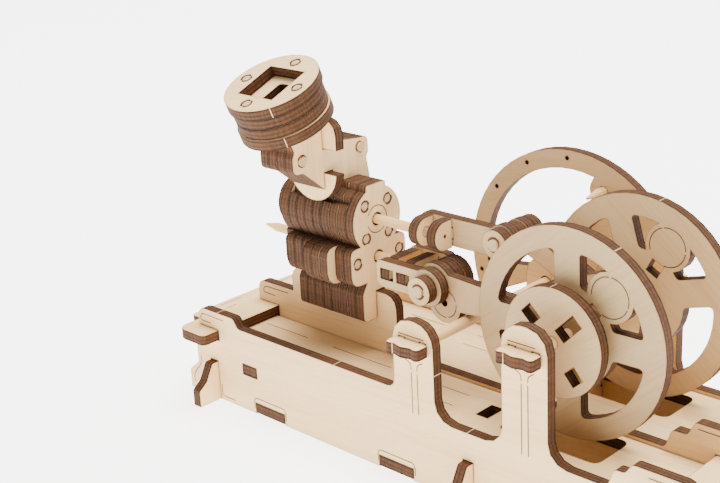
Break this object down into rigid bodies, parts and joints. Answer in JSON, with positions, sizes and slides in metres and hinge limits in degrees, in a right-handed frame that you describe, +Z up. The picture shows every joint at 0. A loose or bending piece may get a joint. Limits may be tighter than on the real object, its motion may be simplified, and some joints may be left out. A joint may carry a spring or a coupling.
{
  "type": "mechanical engine model",
  "caption": "Slotted plywood engine model: a stacked-plate cylinder on a long base drives a crank with flywheels through a piston line and a valve line, with a hand wheel at the back",
  "frame": {"origin": "on the ground, at mid-thickness of the front panel's foot, 9.4 mm right of that panel's left edge", "axes": "+X from the cylinder to the crank, +Y from the front panel to the hand wheel, +Z up"},
  "size_m": [0.1684, 0.073, 0.0964],
  "materials": {
    "birch_ply": "bare laser-cut birch plywood",
    "pale_birch": "bare pale birch plywood",
    "stick_wood": "bare turned stick"
  },
  "bodies": {
    "frame": {"cylinder_plate_01": "birch_ply", "cylinder_plate_02": "birch_ply", "cylinder_plate_03": "birch_ply", "cylinder_plate_04": "birch_ply", "cylinder_plate_05": "birch_ply", "cylinder_plate_06": "birch_ply", "cylinder_plate_07": "birch_ply", "cylinder_plate_08": "birch_ply", "cylinder_plate_09": "birch_ply", "cylinder_plate_10": "birch_ply", "floor_plate": "birch_ply", "front_crank_clip": "birch_ply", "front_deck": "pale_birch", "front_panel": "birch_ply", "hand_axle_clip": "birch_ply", "head_disc_1": "pale_birch", "head_disc_2": "pale_birch", "head_disc_3": "pale_birch", "head_disc_4": "pale_birch", "left_cross_frame": "birch_ply", "left_top_plate": "birch_ply", "middle_cross_frame": "birch_ply", "neck_gusset": "birch_ply", "neck_pin_back": "stick_wood", "neck_pin_front": "stick_wood", "rear_crank_clip": "birch_ply", "rear_deck": "pale_birch", "rear_panel": "birch_ply", "right_cross_frame": "birch_ply", "right_top_plate": "birch_ply", "spine_panel": "birch_ply", "tie_bar": "birch_ply"},
    "crankshaft": {"crank_axle": "stick_wood", "crank_disc": "birch_ply", "crank_pin": "stick_wood", "crank_web": "birch_ply", "front_flywheel": "pale_birch", "rear_flywheel": "pale_birch", "front_spacer_tube": "birch_ply", "rear_spacer_tube": "birch_ply", "valve_eccentric": "birch_ply"},
    "hand_wheel_set": {"hand_axle": "stick_wood", "hand_wheel": "birch_ply", "wheel_handle": "stick_wood"},
    "piston_set": {"piston": "birch_ply", "piston_rod": "stick_wood", "front_crosshead": "birch_ply", "rear_crosshead": "birch_ply", "link_bar": "birch_ply", "link_pin": "stick_wood", "link_washer": "birch_ply"},
    "connecting_rod": {"connecting_rod": "birch_ply"},
    "valve_set": {"valve_rod": "stick_wood", "front_valve_cheek": "birch_ply", "rear_valve_cheek": "birch_ply", "front_valve_cross": "birch_ply", "rear_valve_cross": "birch_ply", "valve_pin": "stick_wood", "valve_washer": "birch_ply"},
    "valve_link": {"valve_link": "birch_ply"}
  },
  "joints": [
    {"name": "crank_spin", "type": "hinge", "parent": "frame", "child": "crankshaft", "pos_m": [0.10465, 0.02583, 0.0422], "axis": [0, 1, 0], "continuous": true},
    {"name": "hand_wheel_spin", "type": "hinge", "parent": "frame", "child": "hand_wheel_set", "pos_m": [0.0721, 0.02583, 0.0355], "axis": [0, 1, 0], "continuous": true},
    {"name": "piston_slide", "type": "slide", "parent": "frame", "child": "piston_set", "axis": [-1, 0, 0], "range_m": [0, 0.012]},
    {"name": "connecting_rod_swing", "type": "hinge", "parent": "piston_set", "child": "connecting_rod", "pos_m": [0.0778, 0.0327, 0.0553], "axis": [0, -1, 0], "range_deg": [0, 8]},
    {"name": "valve_slide", "type": "slide", "parent": "frame", "child": "valve_set", "axis": [-1, 0, 0], "range_m": [0, 0.006]},
    {"name": "valve_link_swing", "type": "hinge", "parent": "valve_set", "child": "valve_link", "pos_m": [0.0627, 0.019, 0.0431], "axis": [0, -1, 0], "range_deg": [-3, 3]}
  ],
  "couplings": [
    {"joint": "connecting_rod_swing", "follows": "piston_slide", "rad_per_m": 10.725}
  ]
}
